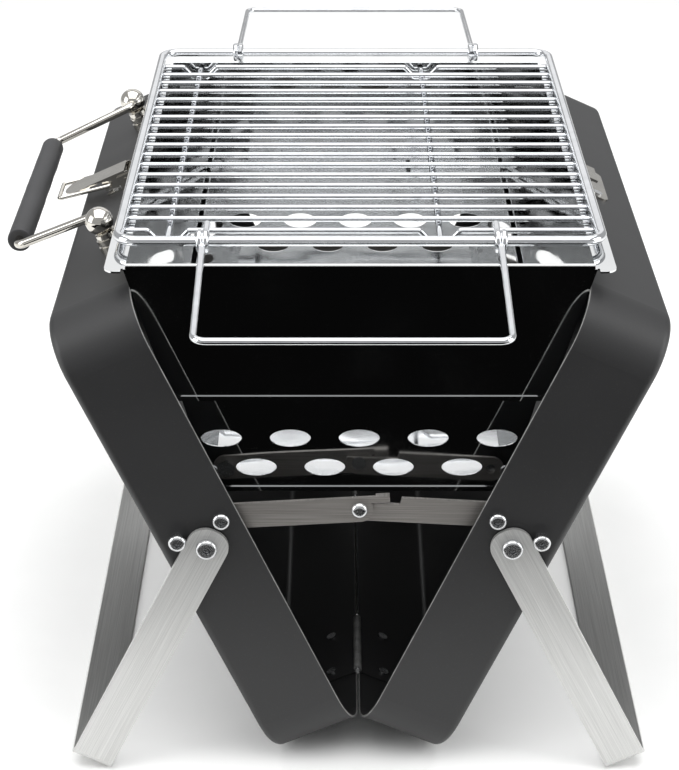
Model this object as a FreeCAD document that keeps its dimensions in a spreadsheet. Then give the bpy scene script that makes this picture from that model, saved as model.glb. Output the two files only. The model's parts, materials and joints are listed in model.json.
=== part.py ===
"""Folding camp grill: a case of two drawn steel halves that opens into a V and carries a firebox.

Design frame: X across the grill, Y from front to back, Z up, millimetres. The last step moves
everything so that the origin is at the centre of the footprint, on the ground.
Each case half has a frame of its own: x is the distance outwards from its rim, y is along the
hinge and z runs from the hinge end to the handle end.
"""
import FreeCAD, Part
import math
import os
import re
import Sketcher
from FreeCAD import Placement, Rotation, Vector

doc = FreeCAD.newDocument("folding_camp_grill")
dims = doc.addObject("Spreadsheet::Sheet", "dims")

# Driving dimensions: alias, value in millimetres or degrees, what it is
SIZES = [
    ("case_length", 316, "case half, hinge end to handle end"),
    ("case_depth", 432, "case half, front to back"),
    ("case_thick", 53, "depth of one drawn half"),
    ("case_corner", 31, "plan corner radius of the drawing"),
    ("case_edge", 5, "rounding where the walls meet the big face"),
    ("case_sheet", 1.2, "case steel"),
    ("open_angle", 24.3, "lean of each half from upright, degrees"),
    ("pin_inset", 1.9, "hinge pin beyond the rim plane"),
    ("pin_rise", 3.3, "hinge pin above the hinge end of the case"),
    ("pin_radius", 1.3, "hinge pin"),
    ("running_gap", 0.05, "radial clearance of every pivot"),
    ("air_gap", 0.3, "side clearance between pieces that move apart"),
    ("knuckle_radius", 2.6, "hinge knuckle"),
    ("leaf_length", 62, "hinge leaf along the pin"),
    ("leaf_width", 27, "hinge leaf across the pin"),
    ("leaf_thick", 1.2, "hinge leaf"),
    ("hinge_place", "=case_depth / 2 - 100", "hinge middle from the middle of the case"),
    ("rivet_radius", 1.6, "small rivet shank"),
    ("rivet_head", 3.2, "small rivet head radius"),
    ("rivet_dome", 1.2, "small rivet head height"),
    ("leg_along", "=case_length / 2", "leg pivot from the hinge end"),
    ("leg_out", "=case_thick - 26.9", "leg pivot from the rim plane"),
    ("leg_angle", 26.6, "lean of the opened leg from upright, degrees"),
    ("leg_length", 168, "leg pivot to the foot bar's underside"),
    ("leg_width", 25, "leg strap"),
    ("leg_thick", 2.5, "leg strap"),
    ("leg_bend", 5.5, "outer bend radius of the strap"),
    ("leg_head", 11.5, "rounding of the strap end"),
    ("washer_thick", 0.6, "washer between case and leg"),
    ("washer_radius", 8, "washer between case and leg"),
    ("screw_radius", 3, "M6 shank"),
    ("screw_head", 5.25, "M6 button head radius"),
    ("pivot_head", 6.4, "leg pivot screw head radius"),
    ("head_height", 3.2, "button head"),
    ("socket_radius", 2.3, "hexagon socket, across corners, half"),
    ("socket_deep", 1.8, "hexagon socket"),
    ("nut_radius", 5.6, "thin lock nut, across corners, half"),
    ("nut_thick", 2.1, "thin lock nut"),
    ("stop_radius", 4.3, "bush that the opened leg leans on"),
    ("stop_gap", 0.3, "leg edge to stop bush"),
    ("stop_along", 3.6, "stop screw beyond the leg pivot, along the strap edge upwards"),
        ("link_out", 11.2, "stay pivot from the rim plane"),
    ("link_clear", "=leg_width / 2 + screw_head + 1.133", "stay pivot from the leg pivot, clear of the strap"),
    ("link_along", "=leg_along + sqrt(link_clear ^ 2 - (leg_out - link_out) ^ 2)", "stay pivot from the hinge end"),
    ("link_rise", 4.7, "stay middle above the line between its pivots"),
    ("link_width", 16, "stay link"),
    ("link_thick", 2, "stay link"),
    ("link_space", 3.6, "stay link to case wall"),
    ("link_tab", 18, "stop tab beyond the middle rivet"),
    ("tab_low", 4, "underside of the stop tab above the link's axis"),
    ("notch_end", 23.5, "end of the notch under the tab"),
    ("knob_radius", 5, "domed head of the middle rivet"),
    ("frame_top", "=case_length * cos(open_angle) + 10.9", "firebox flange above the case's hinge corner"),
    ("frame_low", "=frame_top - 81.4", "underside of the upper frame"),
    ("rim_reach", "=pin_inset * cos(open_angle) + (case_length - pin_rise) * sin(open_angle)",
     "top corner of the opened case rim from the middle"),
    ("frame_wide", "=rim_reach + 2.788", "half width at the top, so that it wedges on the case rims"),
    ("frame_narrow", "=frame_wide - 24.7", "half width of the frame at its bottom"),
    ("frame_inset", 21.5, "frame wall behind the case front"),
    ("frame_sheet", 1, "stainless sheet"),
    ("flange_out", "=frame_wide + 10.8", "outer edge of the resting flange from the middle"),
    ("flange_reach", "=case_depth / 2 - 18", "half length of the resting flange"),
    ("flange_corner", 7, "corner rounding of the flange"),
    ("hem_tall", 4.2, "rolled top edge"),
    ("hem_thick", 2.4, "rolled top edge"),
    ("low_hem", 2.8, "folded bottom edge, height"),
    ("tab_width", 12, "corner tab of the side sheet"),
    ("lip_reach", 3.5, "inward lip that the pan hangs on"),
    ("pan_inset", 37, "pan wall behind the case front"),
    ("pan_low", "=frame_low - 67", "underside of the pan"),
    ("pan_wide", "=frame_narrow - 2", "half width of the pan at its top"),
    ("pan_narrow", "=frame_narrow - 20.5", "half width of the pan at its bottom"),
    ("vent_long", 24, "vent, along the wall"),
    ("vent_tall", 11.2, "vent, height"),
    ("vent_pitch", 40.65, "vent spacing in a row"),
    ("vent_high", "=pan_low + 34.7", "middle of the upper vent row"),
    ("vent_step", 19.2, "lower row below the upper row"),
    ("grate_half", "=flange_out - 5", "half width of the grate to the wire's middle"),
    ("grate_front", "=47.7 - case_depth / 2", "front wire of the grate"),
    ("grate_back", "=case_depth / 2 - 12.5", "back wire of the grate"),
    ("grate_bend", 12, "corner bend of the frame wire"),
    ("edge_wire", 3, "frame wire radius"),
    ("bar_wire", 1.7, "cross wire radius"),
    ("bar_first", "=grate_front + 28.5", "first cross wire"),
    ("bar_pitch", "=(grate_back - grate_front - 48.8) / 17", "cross wire spacing"),
    ("rod_left", "=27.3 - grate_half", "left long rod"),
    ("rod_right", "=grate_half - 92", "right long rod"),
    ("rod_wire", 2, "long rod radius"),
    ("bail_span", 85, "half spacing of the bail's eyes"),
    ("bail_spread", 83, "half length of the bail's bar"),
    ("bail_shift", -4.7, "middle of the front bail from the middle of the grate"),
    ("bail_reach", 130, "bail, eye to bar"),
    ("bail_drop", 4.3, "bar below the eyes"),
    ("bail_wire", 2, "bail wire radius"),
    ("bail_tail", 17, "bail tail inside the eye"),
    ("post_out", 18, "handle posts from the rim plane"),
    ("post_place", "=case_depth / 2 - 101", "handle posts from the middle"),
    ("ball_high", 18.5, "ball centre above the case end"),
    ("ball_radius", 8.5, "ball head of the post"),
    ("handle_wire", 2.75, "handle rod radius"),
    ("handle_reach", 58, "handle rod, ball to grip axis"),
    ("grip_half", "=post_place - 29", "half length of the grip"),
    ("grip_radius", 7.5, "grip"),
    ("latch_out", 17, "latch pin from the rim plane"),
    ("latch_rise", 5.5, "latch pin above the case end"),
    ("latch_half", 12, "half width of the latch base"),
    ("lever_length", 36, "latch lever from its pin"),
    ("hook_out", 24, "catch plate middle from the rim plane"),
]
for row, (alias, number, note) in enumerate(SIZES, 1):
    dims.set(f"A{row}", alias)
    dims.set(f"B{row}", str(number))
    dims.setAlias(f"B{row}", alias)
    dims.set(f"C{row}", note)
doc.recompute()
ALIASES = {alias for alias, number, note in SIZES}
nodes = {}


def formula(text):
    """A formula in cell names, with the sheet's name put before each cell."""
    return re.sub(r"[a-z_]+", lambda word: "dims." + word[0] if word[0] in ALIASES else word[0], text)


def size(text):
    """The number that a formula in cell names gives now."""
    return float(dims.evalExpression(formula(text)))


def bind(thing, place, text):
    thing.setExpression(place, formula(text))


def new_body(label, placement=None):
    """An empty body that becomes a node; it may hold several loose solids, as a set of screws does."""
    body = doc.addObject("PartDesign::Body", label)
    body.Label = label
    body.AllowCompound = True
    if placement:
        body.Placement = placement
    nodes[label] = body
    return body


def move_to(feature, start):
    for axis, text in zip("xyz", start):
        bind(feature, "Placement.Base." + axis, text)


TURNS = {
    "+z": Rotation(),
    "-z": Rotation(Vector(1, 0, 0), 180),
    "+y": Rotation(Vector(1, 0, 0), -90),
    "-y": Rotation(Vector(1, 0, 0), 90),
    "+x": Rotation(Vector(0, 1, 0), 90),
}


def box(body, extent, corner, cut=False):
    """A block given by its three sizes and its lowest corner."""
    kind = "Subtractive" if cut else "Additive"
    feature = body.newObject(f"PartDesign::{kind}Box", "block")
    for side, text in zip(("Length", "Width", "Height"), extent):
        bind(feature, side, text)
    move_to(feature, corner)
    return feature


def rod(body, radius, length, start, way="+z", cut=False):
    """A round bar, or a hole, from a start point along one axis."""
    kind = "Subtractive" if cut else "Additive"
    feature = body.newObject(f"PartDesign::{kind}Cylinder", "round")
    bind(feature, "Radius", radius)
    bind(feature, "Height", length)
    feature.Placement = Placement(Vector(), TURNS[way])
    move_to(feature, start)
    return feature


def hexagon(body, radius, length, start, way="+z", cut=False):
    """A hexagonal bar or socket; the radius is to its corners."""
    kind = "Subtractive" if cut else "Additive"
    feature = body.newObject(f"PartDesign::{kind}Prism", "hexagon")
    feature.Polygon = 6
    bind(feature, "Circumradius", radius)
    bind(feature, "Height", length)
    feature.Placement = Placement(Vector(), TURNS[way])
    move_to(feature, start)
    return feature


def plate(body, points, thick, middle="0", cut=False):
    """A sheet whose outline is drawn in the XZ plane, as thick as given, about y = middle."""
    sketch = body.newObject("Sketcher::SketchObject", "outline")
    planes = {feature.Role: feature for feature in body.Origin.OriginFeatures}
    sketch.AttachmentSupport = [(planes["XZ_Plane"], "")]
    sketch.MapMode = "FlatFace"
    bind(sketch, "AttachmentOffset.Base.z", f"-({middle})")
    numbers = [(size(across), size(up)) for across, up in points]
    for first, second in zip(numbers, numbers[1:] + numbers[:1]):
        sketch.addGeometry(Part.LineSegment(Vector(*first, 0), Vector(*second, 0)), False)
    for index, (across, up) in enumerate(points):
        sketch.addConstraint(Sketcher.Constraint("Coincident", index, 2, (index + 1) % len(points), 1))
        for kind, text, number in zip(("DistanceX", "DistanceY"), (across, up), numbers[index]):
            held = sketch.addConstraint(Sketcher.Constraint(kind, -1, 1, index, 1, number))
            bind(sketch, f"Constraints[{held}]", text)
    feature = body.newObject("PartDesign::Pocket" if cut else "PartDesign::Pad", "sheet")
    feature.Profile = sketch
    feature.SideType = "Symmetric"
    bind(feature, "Length", thick)
    return feature


def round_edges(body, chosen, radius):
    """Round the edges for which chosen(edge) is true."""
    doc.recompute()
    tip = body.Tip
    names = [f"Edge{index}" for index, edge in enumerate(tip.Shape.Edges, 1) if chosen(edge)]
    feature = body.newObject("PartDesign::Fillet", "rounding")
    feature.Base = (tip, names)
    bind(feature, "Radius", radius)
    return feature


def near(value, target):
    return abs(value - target) < 1e-3


def flat_in(axis, text):
    """A test for edges that lie wholly in the plane axis = text."""
    target = size(text)
    return lambda edge: all(near(getattr(vertex.Point, axis), target) for vertex in edge.Vertexes)


def bent_wire(points, bends, radius, closed=False):
    """A round wire through the points; each inner corner is an arc of its bend radius."""
    count = len(points)
    corners = range(count) if closed else range(1, count - 1)
    entry = dict(enumerate(points))
    leave = dict(enumerate(points))
    arcs = {}
    for index in corners:
        here = points[index]
        back = (points[index - 1] - here).normalize()
        ahead = (points[(index + 1) % count] - here).normalize()
        half = back.getAngle(ahead) / 2
        bend = bends[index] if isinstance(bends, (list, tuple)) else bends
        if bend < 1e-6 or near(half, math.pi / 2):
            continue
        run = bend / math.tan(half)
        entry[index] = here + back * run
        leave[index] = here + ahead * run
        middle = here + (back + ahead).normalize() * (bend / math.sin(half) - bend)
        arcs[index] = Part.Arc(entry[index], middle, leave[index]).toShape()
    edges = []
    for index in range(count if closed else count - 1):
        following = (index + 1) % count
        edges.append(Part.LineSegment(leave[index], entry[following]).toShape())
        if following in arcs:
            edges.append(arcs[following])
    path = Part.Wire(edges)
    start = leave[0]
    direction = (entry[1] - start).normalize()
    section = Part.Wire(Part.makeCircle(radius, start, direction))
    return path.makePipeShell([section], True, False)


def wire_node(label, shape, placement=None):
    """A node made of bent wire."""
    feature = doc.addObject("Part::Feature", label)
    feature.Label = label
    feature.Shape = shape
    if placement:
        feature.Placement = placement
    nodes[label] = feature
    return feature


# ---------------------------------------------------------------- places in the open V
lean = math.radians(size("open_angle"))
pin_high = size("pin_rise") * math.cos(lean) + size("pin_inset") * math.sin(lean)


def case_frame(side):
    """Where a case half's own frame sits: side is -1 for the left half and 1 for the right."""
    turn = Rotation(Vector(0, 1, 0), side * size("open_angle"))
    if side < 0:
        turn = turn.multiply(Rotation(Vector(0, 0, 1), 180))
    pin = Vector(-size("pin_inset"), 0, size("pin_rise"))
    return Placement(Vector(0, 0, pin_high) - turn.multVec(pin), turn)


def case_point(side, out, along):
    """Design-frame place of a point that lies out from the rim plane and along the half."""
    return case_frame(side).multVec(Vector(out, 0, along))


# ---------------------------------------------------------------- case halves
# Drawn steel tray, open towards the middle of the grill, with round corners and a thin rim.
SIDES = (("left", -1), ("right", 1))
wall = "case_depth / 2"
leg_edge_gap = "leg_width / 2 + stop_radius + stop_gap"


def stop_place():
    """Stop screw in the case frame: beside the opened leg's outer edge, a little above its pivot."""
    swing = math.radians(size("leg_angle") + size("open_angle"))
    away = size(leg_edge_gap)
    up = -size("stop_along")
    out = size("leg_out") + away * math.cos(swing) + up * -math.sin(swing)
    along = size("leg_along") + away * math.sin(swing) + up * math.cos(swing)
    return out, along


stop_out, stop_up = stop_place()
for alias, number in (("stop_x", stop_out), ("stop_z", stop_up)):
    row = len(ALIASES) + 1
    dims.set(f"A{row}", alias)
    dims.set(f"B{row}", f"{number:.4f}")
    dims.setAlias(f"B{row}", alias)
    ALIASES.add(alias)
doc.recompute()

for name, side in SIDES:
    half = new_body(f"{name}_case_half", case_frame(side))
    box(half, ("case_thick", "case_depth", "case_length"), ("0", "-case_depth / 2", "0"))
    round_edges(half, lambda edge: near(abs(edge.tangentAt(edge.FirstParameter).x), 1), "case_corner")
    round_edges(half, flat_in("x", "case_thick"), "case_edge")
    doc.recompute()
    solid = half.Tip
    open_face = min(range(len(solid.Shape.Faces)), key=lambda index: solid.Shape.Faces[index].CenterOfMass.x)
    tray = half.newObject("PartDesign::Thickness", "tray")
    tray.Base = (solid, [f"Face{open_face + 1}"])
    bind(tray, "Value", "case_sheet")
    tray.Reversed = True
    for out, along in (("leg_out", "leg_along"), ("stop_x", "stop_z"), ("link_out", "link_along")):
        rod(half, "screw_radius + running_gap", "case_depth + 4", (out, "-case_depth / 2 - 2", along),
            "+y", cut=True)
    for end in ("-", ""):
        for step in ("-", ""):
            spot = f"{end}hinge_place + {step}leaf_length * 0.34"
            rod(half, "rivet_radius", "3 * case_sheet", ("leaf_width * 0.62", spot, "-case_sheet"), cut=True)
    end_hole = "case_length - 2 * case_sheet"
    if side < 0:
        for end in ("-", ""):
            rod(half, "screw_radius", "3 * case_sheet", ("post_out", f"{end}post_place", end_hole), cut=True)
            rod(half, "rivet_radius", "3 * case_sheet", ("latch_out + 9", f"{end}latch_half * 0.5", end_hole),
                cut=True)
    else:
        for end in ("-", ""):
            rod(half, "rivet_radius", "3 * case_sheet", ("hook_out", f"{end}19", end_hole), cut=True)

# ---------------------------------------------------------------- hinges
# Two butt hinges inside the V: rolled knuckles on a pin, leaves riveted to the end walls.
LEAF_KNUCKLES = {
    -1: (("-leaf_length / 2", "leaf_length / 4"), ("leaf_length / 4", "leaf_length / 4")),
    1: (("-leaf_length / 4 + air_gap", "leaf_length / 2 - 2 * air_gap"),),
}
for end_name, end in (("front", "-"), ("back", "")):
    for name, side in SIDES:
        leaf = new_body(f"{end_name}_hinge_leaf_{name}", case_frame(side))
        centre = f"{end}hinge_place" if side > 0 else ("hinge_place" if end else "-hinge_place")
        box(leaf, ("leaf_width - 1.5", "leaf_length", "leaf_thick"),
            ("1.5", f"{centre} - leaf_length / 2", "case_sheet"))
        for start, length in LEAF_KNUCKLES[side]:
            box(leaf, ("pin_inset + 1.6", length, "leaf_thick"), ("-pin_inset", f"{centre} + {start}",
                "case_sheet"))
            rod(leaf, "knuckle_radius", length, ("-pin_inset", f"{centre} + {start}", "pin_rise"), "+y")
        rod(leaf, "pin_radius + running_gap", "leaf_length + 2",
            ("-pin_inset", f"{centre} - leaf_length / 2 - 1", "pin_rise"), "+y", cut=True)
        for step in ("-", "+"):
            rod(leaf, "rivet_radius", "3 * leaf_thick",
                ("leaf_width * 0.62", f"{centre} {step} leaf_length * 0.34", "0"), cut=True)
    pin = new_body(f"{end_name}_hinge_pin", Placement(Vector(0, 0, pin_high), Rotation()))
    rod(pin, "pin_radius", "leaf_length + 2", ("0", f"{end}hinge_place - leaf_length / 2 - 1", "0"), "+y")
    for tip, way in (("- leaf_length / 2 - 1", "-y"), ("+ leaf_length / 2 + 1", "+y")):
        rod(pin, "pin_radius + 0.8", "0.8", ("0", f"{end}hinge_place {tip}", "0"), way)


def rivet(body, at, way, grip, head="rivet_head", shank="rivet_radius", dome="rivet_dome"):
    """A rivet: a head at the given point, facing the given way, and a flat tail through the grip."""
    sign = {"-": "+", "+": "-"}[way[0]]
    back = {"-": "+", "+": "-"}[way[0]] + way[1]
    rod(body, head, dome, at, way)
    rod(body, shank, grip, at, back)
    tail = list(at)
    axis = "xyz".index(way[1])
    tail[axis] = f"{at[axis]} {sign} ({grip})"
    rod(body, "rivet_radius + 0.7", "0.6", tail, back)


for name, side in SIDES:
    rivets = new_body(f"{name}_hinge_rivets", case_frame(side))
    for end in ("-", ""):
        for step in ("-", "+"):
            spot = f"{end}hinge_place {step} leaf_length * 0.34"
            rivet(rivets, ("leaf_width * 0.62", spot, "case_sheet + leaf_thick"), "+z",
                  "case_sheet + leaf_thick")

# ---------------------------------------------------------------- legs
# One flat strap bent into a U round the case; the foot bar stands on its lower edge.
leg_inner = "case_depth / 2 + washer_thick + air_gap"
leg_outer = "case_depth / 2 + washer_thick + air_gap + leg_thick"
for name, side in SIDES:
    turn = Rotation(Vector(0, 1, 0), -side * size("leg_angle"))
    pivot = case_point(side, size("leg_out"), size("leg_along"))
    leg = new_body(f"{name}_leg", Placement(pivot, turn))
    reach = f"leg_length + leg_width / 2"
    box(leg, ("leg_width", f"2 * ({leg_outer})", reach), ("-leg_width / 2", f"-({leg_outer})", "-leg_length"))
    box(leg, ("leg_width + 2", f"2 * ({leg_inner})", reach),
        ("-leg_width / 2 - 1", f"-({leg_inner})", "-leg_length + leg_thick"), cut=True)
    outer_y = size(leg_outer)
    inner_y = size(leg_inner)
    low = -size("leg_length")

    def bottom_outside(edge):
        point = edge.CenterOfMass
        return near(point.z, low) and near(abs(point.y), outer_y) and near(point.x, 0)

    def bottom_inside(edge):
        point = edge.CenterOfMass
        return near(point.z, low + size("leg_thick")) and near(abs(point.y), inner_y) and near(point.x, 0)

    def strap_end(edge):
        point = edge.CenterOfMass
        return near(point.z, size("leg_width / 2")) and near(abs(point.x), size("leg_width / 2"))

    round_edges(leg, bottom_outside, "leg_bend")
    round_edges(leg, bottom_inside, "leg_bend - leg_thick")
    round_edges(leg, strap_end, "leg_head")
    rod(leg, "screw_radius + running_gap", f"2 * ({leg_outer}) + 2", ("0", f"-({leg_outer}) - 1", "0"),
        "+y", cut=True)


def ends(text):
    """The same distance on the front side (negative y) and on the back side."""
    return ((f"-({text})", "-y", "+y"), (text, "+y", "-y"))


def button_screws(label, side, out, along, stand, shank, head="screw_head", bush=None):
    """A button-head screw at the front and one at the back; stand is from the middle to the head."""
    body = new_body(label, case_frame(side))
    for place, outward, inward in ends(stand):
        rod(body, head, "head_height", (out, place, along), outward)
        rod(body, "screw_radius", shank, (out, place, along), inward)
        if bush:
            radius, start, length = bush
            rod(body, radius, length, (out, f"{place} {'+' if outward == '-y' else '-'} ({start})", along), inward)
    top = size(f"{stand} + head_height")
    round_edges(body, lambda edge: near(abs(edge.CenterOfMass.y), top), "head_height * 0.7")
    for place, outward, inward in ends(f"{stand} + head_height"):
        hexagon(body, "socket_radius", "socket_deep", (out, place, along), inward, cut=True)
    return body


def thin_nuts(label, side, out, along, face):
    """Thin lock nuts on the inside of the walls; face is the distance of their outer side."""
    body = new_body(label, case_frame(side))
    for place, outward, inward in ends(face):
        hexagon(body, "nut_radius", "nut_thick", (out, place, along), inward)
        rod(body, "screw_radius", "nut_thick + 2", (out, f"{place} {'-' if outward == '-y' else '+'} 1", along),
            inward, cut=True)
    return body


head_stand = f"{leg_outer} + air_gap"
inside = "case_depth / 2 - case_sheet"
for name, side in SIDES:
    button_screws(f"{name}_leg_pivot_screws", side, "leg_out", "leg_along", head_stand,
                  f"{head_stand} - ({inside}) + nut_thick", "pivot_head")
    thin_nuts(f"{name}_leg_pivot_nuts", side, "leg_out", "leg_along", inside)
    washers = new_body(f"{name}_leg_washers", case_frame(side))
    for place, outward, inward in ends(wall):
        rod(washers, "washer_radius", "washer_thick", ("leg_out", place, "leg_along"), outward)
    rod(washers, "screw_radius", "case_depth + 4", ("leg_out", "-case_depth / 2 - 2", "leg_along"), "+y",
        cut=True)
    button_screws(f"{name}_leg_stop_screws", side, "stop_x", "stop_z", head_stand,
                  f"{head_stand} - ({inside}) + nut_thick",
                  bush=("stop_radius", "0", f"{head_stand} - case_depth / 2"))
    thin_nuts(f"{name}_leg_stop_nuts", side, "stop_x", "stop_z", inside)

# ---------------------------------------------------------------- folding stays
# Two flat links joined by a domed rivet; the left link's tab seats in the right link's notch.
left_pin = case_point(-1, size("link_out"), size("link_along"))
half_span = -left_pin.x
link_long = math.hypot(half_span, size("link_rise"))
link_tilt = math.degrees(math.atan2(size("link_rise"), half_span))
row = len(ALIASES) + 1
dims.set(f"A{row}", "link_long")
dims.set(f"B{row}", f"{link_long:.4f}")
dims.setAlias(f"B{row}", "link_long")
ALIASES.add("link_long")
doc.recompute()
left_layer = f"{inside} - link_space - link_thick / 2"
right_layer = f"{left_layer} - link_thick - air_gap"
middle_point = Vector(0, 0, left_pin.z + size("link_rise"))
left_turn = Rotation(Vector(0, 1, 0), -link_tilt)
right_turn = Rotation(Vector(0, 1, 0), link_tilt)
link_half = "link_width / 2"


def strap_corners(edge):
    """Edges across the sheet at the two ends of a link."""
    return near(abs(edge.tangentAt(edge.FirstParameter).y), 1)


def link_holes(body):
    for spot in ("0", "link_long"):
        rod(body, "screw_radius + running_gap", "case_depth", (spot, "-case_depth / 2", "0"), "+y", cut=True)


for end_name, sign in (("front", "-"), ("back", "")):
    left_middle = f"{sign}({left_layer})"
    right_middle = f"{sign}({right_layer})"
    left_link = new_body(f"{end_name}_stay_link_left", Placement(left_pin, left_turn))
    plate(left_link, ((f"-{link_half}", f"-{link_half}"), (f"link_long + {link_half}", f"-{link_half}"),
                      (f"link_long + {link_half}", link_half), (f"-{link_half}", link_half)),
          "link_thick", left_middle)
    round_edges(left_link, strap_corners, "link_width * 0.49")
    plate(left_link, (("link_long", "tab_low"), ("link_long + link_tab", "tab_low"),
                      ("link_long + link_tab", link_half), ("link_long", link_half)), "link_thick", left_middle)
    back_fold = "2 * link_thick + air_gap"
    fold_middle = f"{sign}({left_layer} - link_thick / 2 - air_gap / 2)"
    plate(left_link, (("link_long + link_width * 0.62", "tab_low"), ("link_long + link_tab", "tab_low"),
                      ("link_long + link_tab", link_half), ("link_long + link_width * 0.62", link_half)),
          back_fold, fold_middle)
    link_holes(left_link)
    right_link = new_body(f"{end_name}_stay_link_right", Placement(middle_point, right_turn))
    plate(right_link, ((f"-{link_half}", f"-{link_half}"), (f"link_long + {link_half}", f"-{link_half}"),
                       (f"link_long + {link_half}", link_half), (f"-{link_half}", link_half)),
          "link_thick", right_middle)
    round_edges(right_link, strap_corners, "link_width * 0.49")
    plate(right_link, ((f"-{link_half} - 1", "tab_low - 0.4"), ("notch_end", "tab_low - 0.4"),
                       ("notch_end + 2", "link_width"), (f"-{link_half} - 1", "link_width")),
          "link_thick + 0.2", right_middle, cut=True)
    link_holes(right_link)
    knob = new_body(f"{end_name}_stay_rivet", Placement(middle_point, Rotation()))
    outward = "-y" if sign else "+y"
    inward = "+y" if sign else "-y"
    face = f"{sign}({left_layer} + link_thick / 2 + air_gap)"
    rod(knob, "knob_radius", "link_space - 2 * air_gap", ("0", face, "0"), outward)
    rod(knob, "screw_radius", "2 * link_thick + 3 * air_gap", ("0", face, "0"), inward)
    tail = f"{sign}({right_layer} - link_thick / 2 - air_gap)"
    rod(knob, "screw_radius + 1.2", "0.9", ("0", tail, "0"), inward)
    rise = size(f"{left_layer} + link_thick / 2 + link_space - air_gap")
    round_edges(knob, lambda edge: near(abs(edge.CenterOfMass.y), rise), "link_space - 2 * air_gap - 0.1")

left_stack = f"case_sheet + link_space + link_thick + 2 * air_gap"
button_screws("left_stay_pivot_screws", -1, "link_out", "link_along", wall, f"{left_stack} + nut_thick",
              bush=("screw_radius + 1.4", "case_sheet", "link_space - air_gap"))
thin_nuts("left_stay_pivot_nuts", -1, "link_out", "link_along", f"{wall} - ({left_stack})")
button_screws("right_stay_pivot_screws", 1, "link_out", "link_along", wall,
              "case_sheet + link_space + link_thick - air_gap",
              bush=("screw_radius + 1.4", "case_sheet", "link_space - air_gap"))

# ---------------------------------------------------------------- firebox upper frame
# Bright stainless sheets: the side sheets carry the resting flanges and fold into corner tabs that
# are spot-welded behind the front and back sheets.
frame_y = "(case_depth / 2 - frame_inset)"
slope = "((frame_wide - frame_narrow) / (frame_top - frame_low))"
for end_name, sign in (("front", "-"), ("back", "")):
    middle = f"{sign}({frame_y} - frame_sheet / 2)"
    sheet = new_body(f"firebox_{end_name}_wall")
    plate(sheet, (("-frame_narrow", "frame_low"), ("frame_narrow", "frame_low"),
                  ("frame_wide", "frame_top"), ("-frame_wide", "frame_top")), "frame_sheet", middle)
    hem_end = "(frame_wide - 1.5 * frame_sheet)"
    plate(sheet, ((f"-{hem_end}", "frame_top - 1"), (hem_end, "frame_top - 1"),
                  (hem_end, "frame_top - 1 + hem_tall"), (f"-{hem_end}", "frame_top - 1 + hem_tall")),
          "hem_thick", middle)
    hem_levels = (size("frame_top - 1"), size("frame_top - 1 + hem_tall"))
    hem_y = (size(f"{frame_y} - frame_sheet / 2 - hem_thick / 2"), size(f"{frame_y} - frame_sheet / 2 + hem_thick / 2"))

    def hem_edge(edge):
        point = edge.CenterOfMass
        long_way = near(abs(edge.tangentAt(edge.FirstParameter).x), 1)
        return long_way and near(point.z, hem_levels[1]) and any(near(abs(point.y), level) for level in hem_y)

    plate(sheet, (("-frame_narrow", "frame_low"), ("frame_narrow", "frame_low"),
                  (f"frame_narrow + low_hem * {slope}", "frame_low + low_hem"),
                  (f"-frame_narrow - low_hem * {slope}", "frame_low + low_hem")),
          "2 * frame_sheet", f"{sign}{frame_y}")
    lip_middle = f"{sign}({frame_y} - frame_sheet - lip_reach / 2)"
    plate(sheet, (("-frame_narrow + frame_sheet + 0.5", "frame_low + low_hem - frame_sheet"),
                  ("frame_narrow - frame_sheet - 0.5", "frame_low + low_hem - frame_sheet"),
                  ("frame_narrow - frame_sheet - 0.5", "frame_low + low_hem"),
                  ("-frame_narrow + frame_sheet + 0.5", "frame_low + low_hem")), "lip_reach", lip_middle)
    round_edges(sheet, hem_edge, "hem_thick * 0.45")

tab_rise = ("frame_low + 20", "frame_top - 16")
for name, side in SIDES:
    s = "-" if side < 0 else ""
    sheet = new_body(f"firebox_{name}_wall")
    plate(sheet, ((f"{s}frame_narrow", "frame_low"), (f"{s}frame_wide", "frame_top"),
                  (f"{s}(frame_wide - frame_sheet)", "frame_top"),
                  (f"{s}(frame_narrow - frame_sheet)", "frame_low")),
          f"2 * ({frame_y} - frame_sheet)")
    low_x = "-flange_out" if side < 0 else "frame_wide - frame_sheet"
    box(sheet, ("flange_out - frame_wide + frame_sheet", "2 * flange_reach", "frame_sheet"),
        (low_x, "-flange_reach", "frame_top - frame_sheet"))

    def flange_corner(edge):
        point = edge.CenterOfMass
        return near(abs(point.x), size("flange_out")) and near(abs(point.y), size("flange_reach"))

    round_edges(sheet, flange_corner, "flange_corner")
    for low_y in ("-flange_reach - 1", f"{frame_y} - frame_sheet"):
        notch_x = f"{s}frame_wide - 1.2 * frame_sheet"
        box(sheet, ("2.4 * frame_sheet", f"flange_reach + 1 - {frame_y} + frame_sheet", "3 * frame_sheet"),
            (notch_x, low_y, "frame_top - 2 * frame_sheet"), cut=True)
    for place in (f"-({frame_y} - 1.5 * frame_sheet)", f"({frame_y} - 1.5 * frame_sheet)"):
        low_in = f"(frame_narrow - frame_sheet / 2 + 20 * {slope})"
        high_in = f"(frame_wide - frame_sheet / 2 - 16 * {slope})"
        plate(sheet, ((f"{s}{low_in}", tab_rise[0]), (f"{s}{high_in}", tab_rise[1]),
                      (f"{s}({high_in} - tab_width)", tab_rise[1]), (f"{s}({low_in} - tab_width)", tab_rise[0])),
              "frame_sheet", place)
    rod(sheet, "1.4", "4", (f"{s}(frame_wide + 9)", "flange_reach - 12", "frame_top - 2"), cut=True)

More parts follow.
